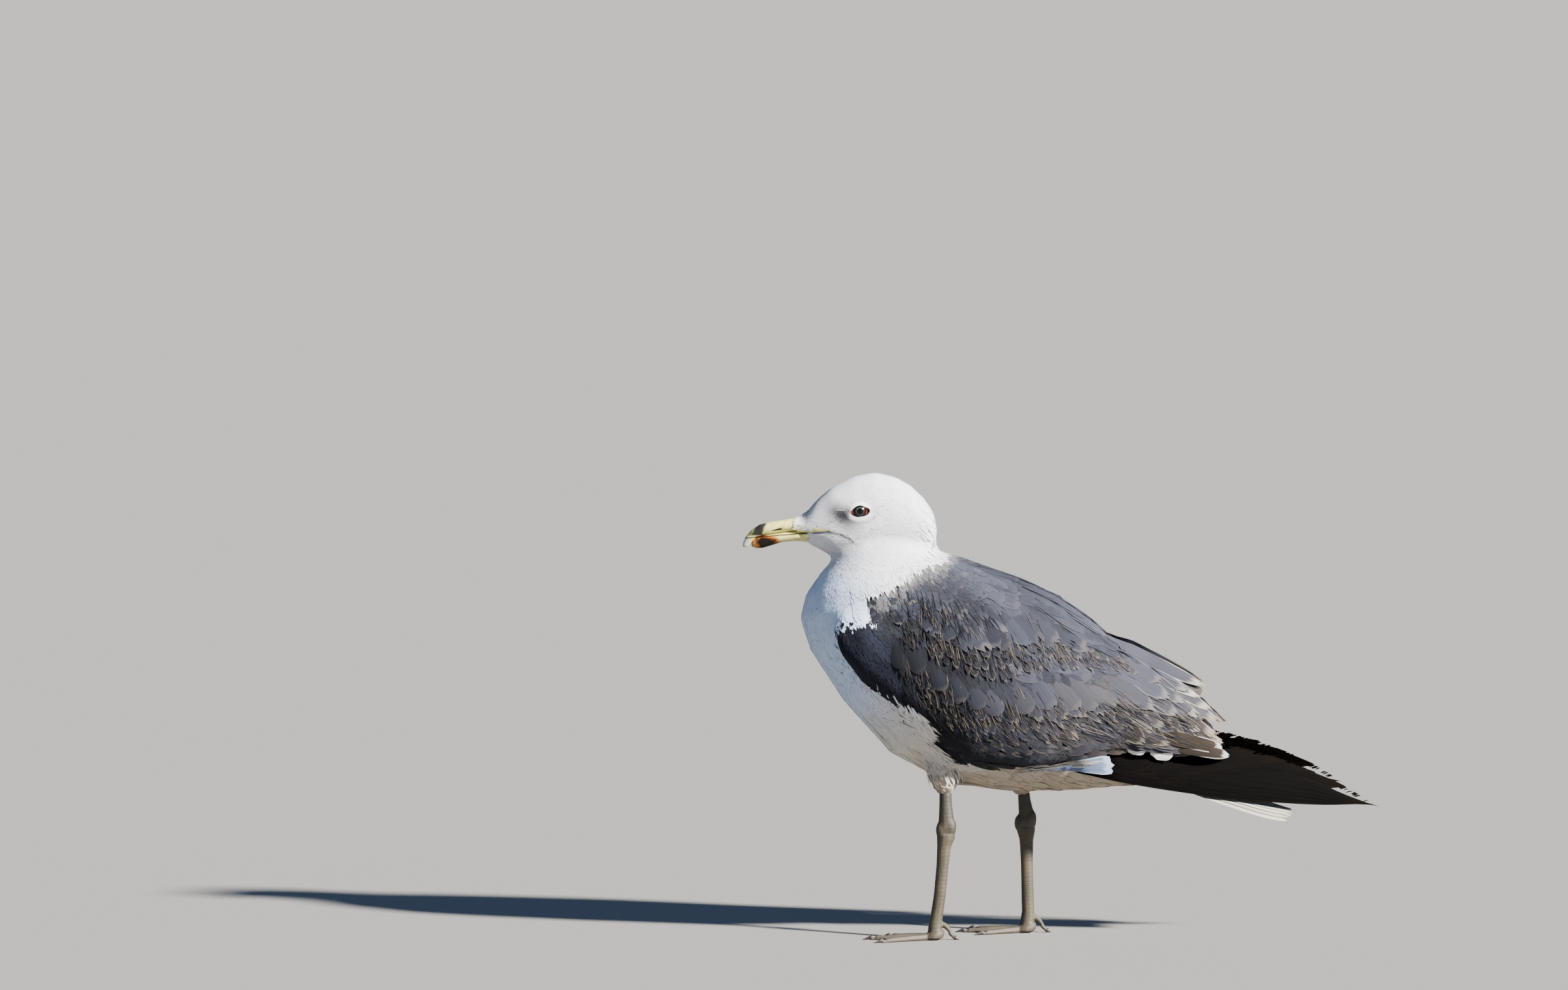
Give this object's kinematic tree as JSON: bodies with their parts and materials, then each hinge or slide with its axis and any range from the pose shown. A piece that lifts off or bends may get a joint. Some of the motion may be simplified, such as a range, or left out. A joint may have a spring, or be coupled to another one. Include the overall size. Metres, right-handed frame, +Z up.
{
  "type": "seagull",
  "caption": "Large white-headed gull standing at rest on both webbed feet, wings folded over its back, as a life-size display model.",
  "frame": {"origin": "on the floor, at the middle of the overall length and width", "axes": "+Z up; +X along the body, from the bill at -X to the wing tips at +X; the bird's left side is at -Y"},
  "size_m": [0.4986, 0.1328, 0.365],
  "materials": {
    "white_plumage": "soft matte feathers, white",
    "grey_plumage": "soft matte feathers, slate grey with worn paler fringes",
    "black_plumage": "smooth flight feathers, brownish black",
    "bill_horn": "satin horn, pale yellow with a dark band near the tip",
    "eye": "wet and glossy, pale grey-green iris",
    "eyelid_skin": "bare skin, orange-red",
    "leg_skin": "scaly skin, dull olive flesh",
    "claw_horn": "satin horn, blackish"
  },
  "bodies": {
    "root": {"head": "white_plumage", "neck": "white_plumage", "trunk": "white_plumage", "tail": "white_plumage", "wing_left": "grey_plumage", "wing_right": "grey_plumage", "tertials_left": "grey_plumage", "tertials_right": "grey_plumage", "primaries_left": "black_plumage", "primaries_right": "black_plumage", "bill_upper": "bill_horn", "bill_lower": "bill_horn", "eye_left": "eye", "eye_right": "eye", "eyelid_left": "eyelid_skin", "eyelid_right": "eyelid_skin", "claw_hind_left": "claw_horn", "claw_hind_right": "claw_horn", "claw_inner_left": "claw_horn", "claw_inner_right": "claw_horn", "claw_middle_left": "claw_horn", "claw_middle_right": "claw_horn", "claw_outer_left": "claw_horn", "claw_outer_right": "claw_horn", "foot_left": "leg_skin", "foot_right": "leg_skin", "hallux_left": "leg_skin", "hallux_right": "leg_skin", "shank_left": "leg_skin", "shank_right": "leg_skin", "tarsus_left": "leg_skin", "tarsus_right": "leg_skin", "thigh_left": "white_plumage", "thigh_right": "white_plumage"}
  },
  "joints": []
}
